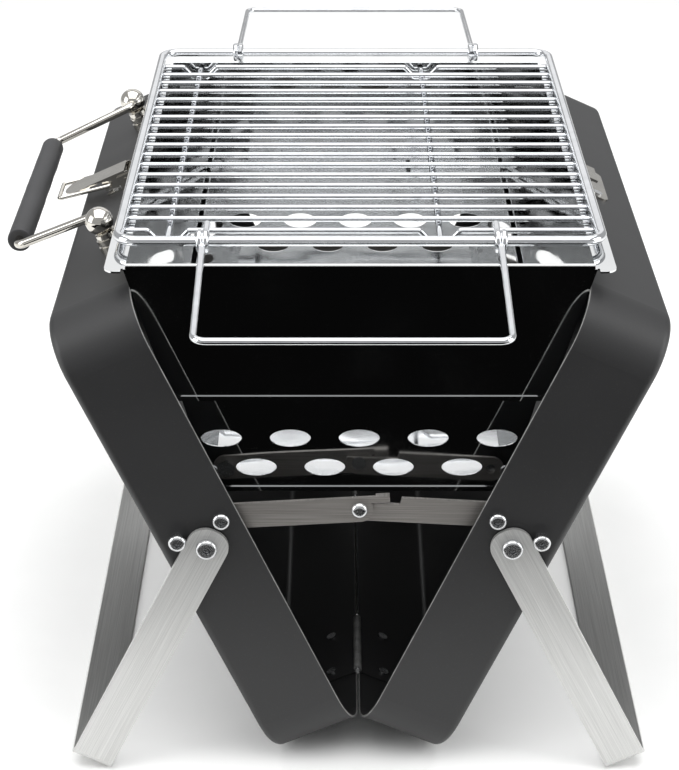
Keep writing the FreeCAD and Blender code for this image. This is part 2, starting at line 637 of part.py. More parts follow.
# ---------------------------------------------------------------- charcoal pan
# A folded bottom with two sides, and two vented walls whose top edges hang on the frame's lips.
pan_y = "(case_depth / 2 - pan_inset)"
pan_top = "frame_low + low_hem + air_gap"
pan_slope = f"((pan_wide - pan_narrow) / ({pan_top} - pan_low))"
trough = new_body("charcoal_pan_bottom")
plate(trough, (("-pan_wide", pan_top), ("-pan_narrow", "pan_low"), ("pan_narrow", "pan_low"),
               ("pan_wide", pan_top), ("pan_wide - frame_sheet", pan_top),
               ("pan_narrow - frame_sheet", "pan_low + frame_sheet"),
               ("-pan_narrow + frame_sheet", "pan_low + frame_sheet"),
               ("-pan_wide + frame_sheet", pan_top)),
      f"2 * ({pan_y} - frame_sheet)")
for name, side in SIDES:
    s = "-" if side < 0 else ""
    for place in (f"-({pan_y} - 1.5 * frame_sheet)", f"({pan_y} - 1.5 * frame_sheet)"):
        low_in = f"(pan_narrow - frame_sheet / 2 + 4 * {pan_slope})"
        high_in = f"(pan_narrow - frame_sheet / 2 + 24 * {pan_slope})"
        plate(trough, ((f"{s}{low_in}", "pan_low + 4"), (f"{s}{high_in}", "pan_low + 24"),
                       (f"{s}({high_in} - tab_width)", "pan_low + 24"),
                       (f"{s}({low_in} - tab_width)", "pan_low + 4")), "frame_sheet", place)
    rod(trough, "rivet_radius", "case_depth",
        (f"{s}(pan_narrow + 13 * {pan_slope} - tab_width * 0.36)", "-case_depth / 2", "pan_low + 13"), "+y",
        cut=True)


def vent_row(count, height):
    """Vent middles along one row."""
    return [(f"vent_pitch * {index - (count - 1) / 2}", height) for index in range(count)]


VENTS = vent_row(5, "vent_high") + vent_row(4, "vent_high - vent_step")
for end_name, sign in (("front", "-"), ("back", "")):
    middle = f"{sign}({pan_y} - frame_sheet / 2)"
    blank = doc.addObject("PartDesign::Body", f"pan_{end_name}_blank")
    blank.AllowCompound = True
    plate(blank, (("-pan_narrow", "pan_low"), ("pan_narrow", "pan_low"), ("pan_wide", pan_top),
                  ("-pan_wide", pan_top)), "frame_sheet", middle)
    plate(blank, (("-pan_narrow", "pan_low"), ("pan_narrow", "pan_low"),
                  (f"pan_narrow + low_hem * {pan_slope}", "pan_low + low_hem"),
                  (f"-pan_narrow - low_hem * {pan_slope}", "pan_low + low_hem")),
          "2 * frame_sheet", f"{sign}{pan_y}")
    lap = f"({frame_y} - {pan_y} - 3.3 * frame_sheet)"
    plate(blank, ((f"-pan_wide + 0.5", pan_top), ("pan_wide - 0.5", pan_top),
                  ("pan_wide - 0.5", f"{pan_top} + frame_sheet"), ("-pan_wide + 0.5", f"{pan_top} + frame_sheet")),
          f"{lap} + frame_sheet", f"{sign}({pan_y} - frame_sheet + ({lap} + frame_sheet) / 2)")
    for s in ("-", ""):
        rod(blank, "rivet_radius", "case_depth",
            (f"{s}(pan_narrow + 13 * {pan_slope} - tab_width * 0.36)", "-case_depth / 2", "pan_low + 13"), "+y",
            cut=True)
    cutters = []
    for across, height in VENTS:
        oval = doc.addObject("Part::Ellipse", "vent_outline")
        bind(oval, "MajorRadius", "vent_long / 2")
        bind(oval, "MinorRadius", "vent_tall / 2")
        oval.Placement = Placement(Vector(), Rotation(Vector(1, 0, 0), 90))
        bind(oval, "Placement.Base.x", across)
        bind(oval, "Placement.Base.y", f"{middle}")
        bind(oval, "Placement.Base.z", height)
        cutter = doc.addObject("Part::Extrusion", "vent")
        cutter.Base = oval
        cutter.DirMode = "Custom"
        cutter.Dir = Vector(0, 1, 0)
        cutter.LengthFwd = 5
        cutter.LengthRev = 5
        cutter.Solid = True
        cutters.append(cutter)
    vents = doc.addObject("Part::Compound", "vents")
    vents.Links = cutters
    vented = doc.addObject("Part::Cut", f"charcoal_pan_{end_name}_wall")
    vented.Label = f"charcoal_pan_{end_name}_wall"
    vented.Base = blank
    vented.Tool = vents
    nodes[vented.Label] = vented
pan_rivets = new_body("charcoal_pan_rivets")
for place, outward, inward in ends(pan_y):
    for s in ("-", ""):
        rivet(pan_rivets, (f"{s}(pan_narrow + 13 * {pan_slope} - tab_width * 0.36)", place, "pan_low + 13"),
              outward, "2 * frame_sheet")

# ---------------------------------------------------------------- grate
# Chromed wire: a bent frame, cross wires welded under its sides, two long rods under the wires.
bar_z = size("frame_top + air_gap + bar_wire")
edge_z = bar_z + size("bar_wire + edge_wire")
rod_z = bar_z - size("bar_wire + rod_wire")
half_wide = size("grate_half")
front_y = size("grate_front")
back_y = size("grate_back")
frame_corners = [
    Vector(0, front_y, edge_z), Vector(half_wide, front_y, edge_z), Vector(half_wide, back_y, edge_z),
    Vector(-half_wide, back_y, edge_z), Vector(-half_wide, front_y, edge_z),
]
wire_node("grate_frame", bent_wire(frame_corners, size("grate_bend"), size("edge_wire"), closed=True))
BAR_COUNT = 18
DIP_RUN = 7
DIP_FLAT = 5
dip = size("2 * bar_wire + 2 * rod_wire")
bars = []
for index in range(BAR_COUNT):
    bar_y = size("bar_first") + index * size("bar_pitch")
    stops = [Vector(-half_wide + 0.4, bar_y, bar_z)]
    if index in (0, BAR_COUNT - 1):
        for rod_x in (size("rod_left"), size("rod_right")):
            for run, drop in ((-DIP_FLAT - DIP_RUN, 0), (-DIP_FLAT, dip), (DIP_FLAT, dip), (DIP_FLAT + DIP_RUN, 0)):
                stops.append(Vector(rod_x + run, bar_y, bar_z - drop))
    stops.append(Vector(half_wide - 0.4, bar_y, bar_z))
    bars.append(bent_wire(stops, 2.5, size("bar_wire")))
wire_node("grate_cross_wires", Part.makeCompound(bars))
first_y = size("bar_first") - 6
last_y = size("bar_first") + (BAR_COUNT - 1) * size("bar_pitch") + 6
rods = []
for rod_x in (size("rod_left"), size("rod_right")):
    rods.append(Part.makeCylinder(size("rod_wire"), last_y - first_y, Vector(rod_x, first_y, rod_z), Vector(0, 1, 0)))
wire_node("grate_long_rods", Part.makeCompound(rods))


def bail_shape(way):
    """Wire bail: two coil eyes round the frame wire, two legs and a bar; way is -1 to the front."""
    eye_radius = size("edge_wire + running_gap + bail_wire")
    span = size("bail_span")
    spread = size("bail_spread")
    reach = size("bail_reach")
    drop = size("bail_drop")
    wire = size("bail_wire")
    start_y = way * eye_radius
    loop = [Vector(-span, start_y, 0), Vector(-spread, way * reach, -drop),
            Vector(spread, way * reach, -drop), Vector(span, start_y, 0)]
    solid = bent_wire(loop, 7, wire)
    for across in (-span, span):
        for turn in (-0.9, 0.9):
            ring = Part.makeTorus(eye_radius, wire, Vector(across + turn * wire, 0, 0), Vector(1, 0, 0))
            solid = solid.fuse(ring)
        inward = -1 if across > 0 else 1
        tail_start = Vector(across + inward * 0.9 * wire, -way * eye_radius * 0.6, eye_radius * 0.8)
        tail_end = Vector(across + inward * 0.9 * wire, -way * size("bail_tail"), eye_radius * 0.8)
        length = (tail_end - tail_start).Length
        solid = solid.fuse(Part.makeCylinder(wire, length, tail_start, Vector(0, -way, 0)))
    bore = size("edge_wire + running_gap")
    core = Part.makeCylinder(bore, 4 * span, Vector(-2 * span, 0, 0), Vector(1, 0, 0))
    return solid.cut(core)


wire_node("front_grate_handle", bail_shape(-1), Placement(Vector(size("bail_shift"), front_y, edge_z), Rotation()))
wire_node("back_grate_handle", bail_shape(1), Placement(Vector(0, back_y, edge_z), Rotation()))

# ---------------------------------------------------------------- carry handle
# Turned posts with grooved collars and ball heads; a bent rod swings in the balls and holds a grip.
end_face = "case_length"
posts = new_body("handle_posts", case_frame(-1))
nuts = new_body("handle_post_nuts", case_frame(-1))
for end in ("-", ""):
    spot = f"{end}post_place"
    for radius, low_level, high_level in (("7.6", 0, 3.4), ("6.4", 3.4, 4.8), ("7.2", 4.8, 7.6), ("6", 7.6, 9),
                                          ("6.6", 9, 11), ("4.6", 11, 14)):
        rod(posts, radius, f"{high_level - low_level}", ("post_out", spot, f"{end_face} + {low_level}"))
    ball = posts.newObject("PartDesign::AdditiveSphere", "ball")
    bind(ball, "Radius", "ball_radius")
    move_to(ball, ("post_out", spot, f"{end_face} + ball_high"))
    rod(posts, "screw_radius", "case_sheet + nut_thick", ("post_out", spot, end_face), "-z")
    hexagon(nuts, "nut_radius", "nut_thick", ("post_out", spot, f"{end_face} - case_sheet"), "-z")
    rod(nuts, "screw_radius", "nut_thick + 2", ("post_out", spot, f"{end_face} - case_sheet + 1"), "-z", cut=True)
rod(posts, "handle_wire + running_gap", "2 * post_place + 1",
    ("post_out", "-post_place - 0.5", f"{end_face} + ball_high"), "+y", cut=True)
handle_axis = case_point(-1, size("post_out"), size("case_length + ball_high"))
post_y = size("post_place")
inner_y = post_y - size("ball_radius") - 4
grip_end = size("grip_half")
reach = size("handle_reach")
handle_path = [
    Vector(0, -post_y, 0), Vector(0, -inner_y, 0), Vector(reach, -grip_end - 9, 0),
    Vector(reach, grip_end + 9, 0), Vector(0, inner_y, 0), Vector(0, post_y, 0),
]
handle_frame = Placement(handle_axis, case_frame(-1).Rotation)
handle_rod = bent_wire(handle_path, (0, 4, 6, 6, 4, 0), size("handle_wire"))
wire_node("handle_rod", handle_rod, handle_frame)
grip = new_body("handle_grip", handle_frame)
rod(grip, "grip_radius", "2 * grip_half", ("handle_reach", "-grip_half", "0"), "+y")
round_edges(grip, lambda edge: near(abs(edge.CenterOfMass.y), grip_end), "2.2")
rod(grip, "handle_wire", "2 * grip_half + 2", ("handle_reach", "-grip_half - 1", "0"), "+y", cut=True)

# ---------------------------------------------------------------- toggle latch and catch
# Pressed steel base and lever on a pin, a wire bail on the lever, and a hooked plate opposite.
lid = Placement(Vector(0, 0, size("case_length")), Rotation())
latch_frame = case_frame(-1).multiply(lid)
base = new_body("latch_base", latch_frame)
box(base, ("22", "2 * latch_half", "case_sheet"), ("latch_out - 7", "-latch_half", "0"))
for low_y in ("-latch_half", "latch_half - case_sheet"):
    box(base, ("11", "case_sheet", "latch_rise + 3.5"), ("latch_out - 6", low_y, "0"))
rod(base, "1.5", "2 * latch_half + 2", ("latch_out", "-latch_half - 1", "latch_rise"), "+y", cut=True)
for end in ("-", ""):
    rod(base, "rivet_radius", "4", ("latch_out + 9", f"{end}latch_half * 0.5", "-1"), cut=True)
latch_pin = new_body("latch_pin", latch_frame)
rod(latch_pin, "1.5", "2 * latch_half + 2", ("latch_out", "-latch_half - 1", "latch_rise"), "+y")
latch_rivets = new_body("latch_rivets", latch_frame)
for end in ("-", ""):
    rivet(latch_rivets, ("latch_out + 9", f"{end}latch_half * 0.5", "case_sheet"), "+z", "2 * case_sheet")

lever = new_body("latch_lever", latch_frame)
cheek = "(latch_half - case_sheet - 0.5)"
lever_top = "(latch_rise + 4.5)"
box(lever, ("lever_length - 2.5", f"2 * {cheek}", "case_sheet"), ("latch_out - 1", f"-{cheek}", lever_top))
rod(lever, "latch_half", "case_sheet", ("latch_out + lever_length - 6", "0", lever_top))
for low_y in (f"-{cheek}", f"{cheek} - case_sheet"):
    box(lever, ("18.5", "case_sheet", f"{lever_top} - latch_rise + 2.9"), ("latch_out - 3", low_y, "latch_rise - 2.5"))
rod(lever, "1.5 + running_gap", "2 * latch_half", ("latch_out", "-latch_half", "latch_rise"), "+y", cut=True)
rod(lever, "1.3 + running_gap", "2 * latch_half", ("latch_out + 11", "-latch_half", "latch_rise + 1"), "+y",
    cut=True)
bail_x = size("latch_out") + 11
bail_y = size("latch_half") + 1.6
bail_z = size("latch_rise") + 1
loop_end = 33.5
lift = 5.6
latch_loop = [
    Vector(0, -size("latch_half") + size("case_sheet") + 1.8, 0), Vector(0, -bail_y, 0),
    Vector(loop_end, -bail_y, lift), Vector(loop_end, bail_y, lift), Vector(0, bail_y, 0),
    Vector(0, size("latch_half") - size("case_sheet") - 1.8, 0),
]
bail_place = latch_frame.multiply(Placement(Vector(bail_x, 0, bail_z), Rotation()))
wire_node("latch_bail", bent_wire(latch_loop, 1.6, 1.3), bail_place)

catch_frame = case_frame(1).multiply(lid)
catch = new_body("catch_plate", catch_frame)
box(catch, ("15", "50", "case_sheet"), ("hook_out - 7.5", "-25", "0"))
box(catch, ("2", "24", "7"), ("hook_out - 7.5", "-12", "0"))
box(catch, ("6", "24", "1.6"), ("hook_out - 7.5", "-12", "5.4"))
round_edges(catch, lambda edge: near(abs(edge.CenterOfMass.y), 25) and near(edge.CenterOfMass.z, size("case_sheet / 2")), "5")
for end in ("-", ""):
    rod(catch, "rivet_radius", "4", ("hook_out", f"{end}19", "-1"), cut=True)
catch_rivets = new_body("catch_rivets", catch_frame)
for end in ("-", ""):
    rivet(catch_rivets, ("hook_out", f"{end}19", "case_sheet"), "+z", "2 * case_sheet")

# ---------------------------------------------------------------- check, move to the footprint, write
doc.recompute()
for thing in doc.Objects:
    for state in thing.State:
        if state in ("Invalid", "Error"):
            raise RuntimeError(f"{thing.Label} failed to build")
total = FreeCAD.BoundBox()
for label, thing in nodes.items():
    shape = thing.Shape
    if shape.isNull() or not shape.isValid() or not shape.Solids:
        raise RuntimeError(f"{label} has no valid solid")
    total.add(shape.BoundBox)
shift = Vector(-total.Center.x, -total.Center.y, -total.ZMin)
for thing in nodes.values():
    thing.Placement = Placement(shift, Rotation()).multiply(thing.Placement)
doc.recompute()

os.makedirs("parts", exist_ok=True)
for label, thing in nodes.items():
    thing.Shape.exportStep(f"parts/{label}.step")
print(f"{len(nodes)} nodes, size {total.XLength:.1f} x {total.YLength:.1f} x {total.ZLength:.1f}")
print(f"shift {shift.x:.3f} {shift.y:.3f} {shift.z:.3f}")
KEY_POINTS = {
    "hinge pin": Vector(0, 0, pin_high),
    "left leg pivot": case_point(-1, size("leg_out"), size("leg_along")),
    "right leg pivot": case_point(1, size("leg_out"), size("leg_along")),
    "left stay pivot": left_pin,
    "stay middle": middle_point,
    "front grate wire": Vector(0, front_y, edge_z),
    "back grate wire": Vector(0, back_y, edge_z),
    "handle axis": handle_axis,
    "latch pin": latch_frame.multVec(Vector(size("latch_out"), 0, size("latch_rise"))),
    "latch bail": latch_frame.multVec(Vector(bail_x, 0, bail_z)),
}
for label, point in KEY_POINTS.items():
    place = point + shift
    print(f"{label}: {place.x:.4f} {place.y:.4f} {place.z:.4f}")
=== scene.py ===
import json
import math
import bpy
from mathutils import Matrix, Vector


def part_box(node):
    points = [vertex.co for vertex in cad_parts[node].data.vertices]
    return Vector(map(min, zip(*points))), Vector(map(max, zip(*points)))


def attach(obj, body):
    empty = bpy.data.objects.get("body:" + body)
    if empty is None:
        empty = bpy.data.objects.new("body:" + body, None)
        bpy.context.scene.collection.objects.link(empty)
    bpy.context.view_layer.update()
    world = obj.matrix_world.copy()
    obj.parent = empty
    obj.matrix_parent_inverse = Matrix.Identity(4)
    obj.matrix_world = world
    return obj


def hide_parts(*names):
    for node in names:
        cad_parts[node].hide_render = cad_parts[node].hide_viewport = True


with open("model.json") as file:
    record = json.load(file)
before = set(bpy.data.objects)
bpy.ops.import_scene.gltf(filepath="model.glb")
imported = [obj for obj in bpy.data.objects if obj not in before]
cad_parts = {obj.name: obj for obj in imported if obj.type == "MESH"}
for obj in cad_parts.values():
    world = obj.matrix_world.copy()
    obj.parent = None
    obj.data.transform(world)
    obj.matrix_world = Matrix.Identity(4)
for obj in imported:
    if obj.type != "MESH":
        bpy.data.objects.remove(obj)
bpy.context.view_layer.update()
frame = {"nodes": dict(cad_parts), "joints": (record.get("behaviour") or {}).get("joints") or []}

nodes = frame["nodes"]
MM = 0.001

# ---------------------------------------------------------------- studio
# A pale paper floor under one large overhead softbox, with a box at each side, one over the floor in
# front and a weak one behind, in a soft pale surround. The camera stands in front and looks down.
CAMERA_PLACE = (6.9 * MM, -1333.0 * MM, 780.8 * MM)
CAMERA_PITCH = 25.35
LENS = 100.9

camera_data = bpy.data.cameras.new("camera")
camera_data.lens = LENS
camera_data.sensor_width = 36
camera_data.clip_start = 0.05
camera_data.clip_end = 50
camera = bpy.data.objects.new("camera", camera_data)
camera.location = CAMERA_PLACE
camera.rotation_euler = (math.radians(90 - CAMERA_PITCH), 0, 0)
bpy.context.scene.collection.objects.link(camera)
bpy.context.scene.camera = camera
bpy.context.scene.view_settings.view_transform = "Standard"


def hex_colour(code):
    """An sRGB hex colour as linear red, green, blue and alpha."""
    parts = [int(code[index:index + 2], 16) / 255 for index in (1, 3, 5)]
    linear = [part / 12.92 if part <= 0.04045 else ((part + 0.055) / 1.055) ** 2.4 for part in parts]
    return (*linear, 1)


def add_node(tree, kind, settings=None, inputs=None):
    """Adds a node, sets it up, and feeds its inputs with values or with other nodes' outputs."""
    made = tree.nodes.new(kind)
    for name, value in (settings or {}).items():
        setattr(made, name, value)
    for name, value in (inputs or {}).items():
        if isinstance(value, bpy.types.NodeSocket):
            tree.links.new(value, made.inputs[name])
        else:
            made.inputs[name].default_value = value
    return made


def new_finish(name):
    """An empty node material: gives the material, its node tree and its Principled shader."""
    material = bpy.data.materials.new(name)
    material.use_nodes = True
    return material, material.node_tree, material.node_tree.nodes["Principled BSDF"]


world = bpy.data.worlds.new("studio_surround")
bpy.context.scene.world = world
world.use_nodes = True
surround = world.node_tree.nodes["Background"]
surround.inputs["Color"].default_value = hex_colour("#f4f5f6")
surround.inputs["Strength"].default_value = 0.55


def softbox(name, place, target, width, height, power):
    """A rectangular studio light that faces its target."""
    data = bpy.data.lights.new(name, "AREA")
    data.shape = "RECTANGLE"
    data.size = width
    data.size_y = height
    data.energy = power
    lamp = bpy.data.objects.new(name, data)
    lamp.location = place
    lamp.rotation_euler = (Vector(target) - Vector(place)).to_track_quat("-Z", "Y").to_euler()
    bpy.context.scene.collection.objects.link(lamp)


softbox("overhead_box", (0, 0.1, 1.9), (0, 0, 0.2), 2.2, 1.8, 32)
softbox("floor_box", (0, -1.1, 1.9), (0, -0.8, 0), 2.4, 0.9, 15)
softbox("back_box", (0, 1.9, 1.3), (0, 0, 0.25), 2.2, 1.2, 5)
softbox("left_box", (-1.9, -0.7, 0.9), (0, 0, 0.2), 1.2, 1.4, 20)
softbox("right_box", (1.9, -0.6, 0.9), (0, 0, 0.2), 1.2, 1.4, 20)

bpy.ops.object.select_all(action="DESELECT")
bpy.ops.mesh.primitive_plane_add(size=14, location=(0, 0, 0))
floor = bpy.context.object
floor.name = "studio_floor"
paper, tree, shader = new_finish("matt_paper")
grain = add_node(tree, "ShaderNodeTexNoise", inputs={"Scale": 220.0, "Detail": 3.0})
tint = add_node(tree, "ShaderNodeMix", {"data_type": "RGBA"}, {"Factor": grain.outputs["Fac"]})
tint.inputs["A"].default_value = hex_colour("#f1f1f0")
tint.inputs["B"].default_value = hex_colour("#f7f7f6")
tree.links.new(tint.outputs["Result"], shader.inputs["Base Color"])
shader.inputs["Roughness"].default_value = 0.9
floor.data.materials.append(paper)

# A black card lies on the floor before the grill. Only polished metal sees it, as a studio flag.
bpy.ops.object.select_all(action="DESELECT")
bpy.ops.mesh.primitive_plane_add(size=1, location=(0.02, -1.145, 0.002))
flag = bpy.context.object
flag.name = "black_flag"
flag.scale = (1.5, 1.45, 1)
bpy.ops.object.transform_apply(location=True, rotation=True, scale=True)
card, tree, shader = new_finish("black_card")
shader.inputs["Base Color"].default_value = hex_colour("#060606")
shader.inputs["Roughness"].default_value = 1.0
shader.inputs["Specular IOR Level"].default_value = 0.0
flag.data.materials.append(card)
flag.visible_camera = False
flag.visible_diffuse = False
flag.visible_shadow = False


# ---------------------------------------------------------------- case halves
# Two trays pressed from 1.2 mm steel sheet with rolled corners, covered with matt black powder coat.
# The coat is a little textured; along the cut rim a broken pale grey line is painted in as a highlight.
LEAN = math.radians(24.3)
PIN_TO_RIM = 1.9 * MM
pin_place = Vector(next(joint["pos_m"] for joint in frame["joints"] if joint["name"] == "case_fold"))


def dress(names, material):
    """Gives a finish to CAD nodes."""
    for name in names:
        for place in nodes[name].material_slots:
            place.material = material


def powder_coat(name, side):
    """Matt black polyester powder on steel: a soft sheen, fine orange peel and a painted highlight along
    the rim.
    """
    material, tree, shader = new_finish(name)
    place = add_node(tree, "ShaderNodeTexCoord").outputs["Object"]
    outward = Vector((side * math.cos(LEAN), 0, -math.sin(LEAN)))
    rim_level = pin_place.dot(outward) + PIN_TO_RIM
    depth = add_node(tree, "ShaderNodeVectorMath", {"operation": "DOT_PRODUCT"}, {0: place, 1: outward})
    inside = add_node(tree, "ShaderNodeMath", {"operation": "SUBTRACT"},
                      {0: depth.outputs["Value"], 1: rim_level})
    # Painted highlight: a pale grey line along the cut rim, broken up by noise.
    rim_highlight_band = add_node(tree, "ShaderNodeMapRange", None,
                    {"Value": inside.outputs[0], "From Min": 0.05 * MM, "From Max": 0.5 * MM,
                     "To Min": 1.0, "To Max": 0.0})
    rim_highlight_breakup = add_node(tree, "ShaderNodeTexNoise", None,
                     {"Vector": place, "Scale": 1 / (9 * MM), "Detail": 4.0})
    painted_rim_highlight = add_node(tree, "ShaderNodeMath", {"operation": "MULTIPLY"},
                    {0: rim_highlight_band.outputs["Result"], 1: rim_highlight_breakup.outputs["Fac"]})
    cloud = add_node(tree, "ShaderNodeTexNoise", None,
                     {"Vector": place, "Scale": 1 / (70 * MM), "Detail": 5.0})
    fleck = add_node(tree, "ShaderNodeTexNoise", None,
                     {"Vector": place, "Scale": 1 / (0.9 * MM), "Detail": 2.0})
    base = add_node(tree, "ShaderNodeMix", {"data_type": "RGBA"}, {"Factor": cloud.outputs["Fac"]})
    base.inputs["A"].default_value = hex_colour("#161617")
    base.inputs["B"].default_value = hex_colour("#1f1f20")
    specks = add_node(tree, "ShaderNodeMapRange", None,
                      {"Value": fleck.outputs["Fac"], "From Min": 0.62, "From Max": 0.8,
                       "To Min": 0.0, "To Max": 0.22})
    dusted = add_node(tree, "ShaderNodeMix", {"data_type": "RGBA"},
                      {"Factor": specks.outputs["Result"], "A": base.outputs["Result"]})
    dusted.inputs["B"].default_value = hex_colour("#4a4a4b")
    # The painted rim highlight is mixed into the coat's colour here.
    final = add_node(tree, "ShaderNodeMix", {"data_type": "RGBA"},
                     {"Factor": painted_rim_highlight.outputs[0], "A": dusted.outputs["Result"]})
    final.inputs["B"].default_value = hex_colour("#a5a5a3")
    tree.links.new(final.outputs["Result"], shader.inputs["Base Color"])
    sheen = add_node(tree, "ShaderNodeMapRange", None,
                     {"Value": cloud.outputs["Fac"], "To Min": 0.44, "To Max": 0.54})
    tree.links.new(sheen.outputs["Result"], shader.inputs["Roughness"])
    peel = add_node(tree, "ShaderNodeBump", None,
                    {"Height": fleck.outputs["Fac"], "Strength": 0.22, "Distance": 0.12 * MM})
    tree.links.new(peel.outputs["Normal"], shader.inputs["Normal"])
    shader.inputs["Specular IOR Level"].default_value = 0.55
    return material


dress(["left_case_half"], powder_coat("powder_coat_left", -1))
dress(["right_case_half"], powder_coat("powder_coat_right", 1))

# ---------------------------------------------------------------- hinges, rivets and screws
# The butt hinges are painted with the case; their pins, and the rivets, screws and nuts, are bright zinc.
# Turning and forming leave faint rings and a satin gloss.


def bright_zinc(name, dark, light, low_rough, high_rough, mottle_mm):
    """Bright zinc over steel: silvery, faintly mottled, satin, with painted shade near black in the
    hollows.
    """
    material, tree, shader = new_finish(name)
    place = add_node(tree, "ShaderNodeTexCoord").outputs["Object"]
    mottle = add_node(tree, "ShaderNodeTexNoise", None,
                      {"Vector": place, "Scale": 1 / (mottle_mm * MM), "Detail": 6.0})
    fine = add_node(tree, "ShaderNodeTexNoise", None,
                    {"Vector": place, "Scale": 1 / (0.5 * MM), "Detail": 3.0})
    tint = add_node(tree, "ShaderNodeMix", {"data_type": "RGBA"}, {"Factor": mottle.outputs["Fac"]})
    tint.inputs["A"].default_value = hex_colour(dark)
    tint.inputs["B"].default_value = hex_colour(light)
    # Painted shade: ambient occlusion darkens the hollows, such as the screw sockets, to near black.
    hollow_occlusion = add_node(tree, "ShaderNodeAmbientOcclusion", {"only_local": True}, {"Distance": 2.4 * MM})
    unshaded_share = add_node(tree, "ShaderNodeMapRange", None,
                     {"Value": hollow_occlusion.outputs["AO"], "From Min": 0.35, "From Max": 0.62,
                      "To Min": 0.0, "To Max": 1.0})
    painted_hollow_shade = add_node(tree, "ShaderNodeMix", {"data_type": "RGBA"},
                      {"Factor": unshaded_share.outputs["Result"], "B": tint.outputs["Result"]})
    painted_hollow_shade.inputs["A"].default_value = hex_colour("#0d0d0d")
    tree.links.new(painted_hollow_shade.outputs["Result"], shader.inputs["Base Color"])
    gloss = add_node(tree, "ShaderNodeMapRange", None,
                     {"Value": fine.outputs["Fac"], "To Min": low_rough, "To Max": high_rough})
    tree.links.new(gloss.outputs["Result"], shader.inputs["Roughness"])
    skin = add_node(tree, "ShaderNodeBump", None,
                    {"Height": fine.outputs["Fac"], "Strength": 0.2, "Distance": 0.05 * MM})
    tree.links.new(skin.outputs["Normal"], shader.inputs["Normal"])
    shader.inputs["Metallic"].default_value = 1.0
    return material


screw_zinc = bright_zinc("bright_zinc_screws", "#b9babc", "#dddedf", 0.18, 0.32, 3)
FASTENER_WORDS = ("screws", "nuts", "rivet", "washers")
fasteners = [name for name in nodes if any(word in name for word in FASTENER_WORDS)]
dress(fasteners + ["front_hinge_pin", "back_hinge_pin"], screw_zinc)
for side, name in ((-1, "left"), (1, "right")):
    hinge_paint = powder_coat(f"powder_coat_hinge_{name}", side)
    dress([f"front_hinge_leaf_{name}", f"back_hinge_leaf_{name}"], hinge_paint)

# ---------------------------------------------------------------- legs and stays
# Flat stainless bar, brushed along its length on a belt, then cut, bent and drilled.
# The brushing leaves long fine scratches, so the metal glows softly along the grain.
LEG_LEAN = math.radians(26.6)


def brushed_bar(name, run, dark="#b4b4b3", light="#dcdcda"):
    """Stainless flat bar: the grain runs along the bar's arms, and across the foot bar."""
    material, tree, shader = new_finish(name)
    place = add_node(tree, "ShaderNodeTexCoord").outputs["Object"]
    facing = add_node(tree, "ShaderNodeNewGeometry").outputs["Normal"]
    across = run.cross(Vector((0, 1, 0)))
    grains = []
    for along, sideways, third in ((run, across, Vector((0, 1, 0))), (Vector((0, 1, 0)), run, across)):
        parts = []
        for direction, length_mm in ((along, 60), (sideways, 0.28), (third, 0.28)):
            dot = add_node(tree, "ShaderNodeVectorMath", {"operation": "DOT_PRODUCT"},
                           {0: place, 1: direction / (length_mm * MM)})
            parts.append(dot.outputs["Value"])
        joined = add_node(tree, "ShaderNodeCombineXYZ", None, {"X": parts[0], "Y": parts[1], "Z": parts[2]})
        grain = add_node(tree, "ShaderNodeTexNoise", None,
                         {"Vector": joined.outputs["Vector"], "Scale": 1.0, "Detail": 5.0,
                          "Roughness": 0.65})
        grains.append(grain.outputs["Fac"])
    turned = add_node(tree, "ShaderNodeSeparateXYZ", None, {"Vector": facing})
    level = add_node(tree, "ShaderNodeMath", {"operation": "ABSOLUTE"}, {0: turned.outputs["Y"]})
    on_arm = add_node(tree, "ShaderNodeMath", {"operation": "GREATER_THAN"}, {0: level.outputs[0], 1: 0.6})
    grain = add_node(tree, "ShaderNodeMix", {"data_type": "FLOAT"},
                     {"Factor": on_arm.outputs[0], "A": grains[1], "B": grains[0]})
    fac = grain.outputs["Result"]
    tint = add_node(tree, "ShaderNodeMapRange", None,
                    {"Value": fac, "From Min": 0.3, "From Max": 0.7, "To Min": 0.0, "To Max": 1.0})
    colour = add_node(tree, "ShaderNodeMix", {"data_type": "RGBA"}, {"Factor": tint.outputs["Result"]})
    colour.inputs["A"].default_value = hex_colour(dark)
    colour.inputs["B"].default_value = hex_colour(light)
    tree.links.new(colour.outputs["Result"], shader.inputs["Base Color"])
    gloss = add_node(tree, "ShaderNodeMapRange", None, {"Value": fac, "To Min": 0.36, "To Max": 0.5})
    tree.links.new(gloss.outputs["Result"], shader.inputs["Roughness"])
    scratch = add_node(tree, "ShaderNodeBump", None,
                       {"Height": fac, "Strength": 0.22, "Distance": 0.05 * MM})
    tree.links.new(scratch.outputs["Normal"], shader.inputs["Normal"])
    shader.inputs["Metallic"].default_value = 0.8
    return material


for side, name in ((-1, "left_leg"), (1, "right_leg")):
    run = Vector((side * math.sin(LEG_LEAN), 0, -math.cos(LEG_LEAN)))
    dress([name], brushed_bar(f"brushed_stainless_{name}", run))
# The stays take the legs' brushed stainless in darker, warmer tones: painted shade.
stay_finish_painted_shade = brushed_bar("brushed_stainless_stays_painted_shade", Vector((1, 0, 0)), "#6f6c69", "#b3afab")
dress([name for name in nodes if "stay_link" in name], stay_finish_painted_shade)

# ---------------------------------------------------------------- firebox and charcoal pan
# Folded from mirror polished stainless sheet, 1 mm thick; spot-welded, and riveted on the pan.
# The polish is true but not flat: reflections waver, and handling leaves hairlines and faint smears.


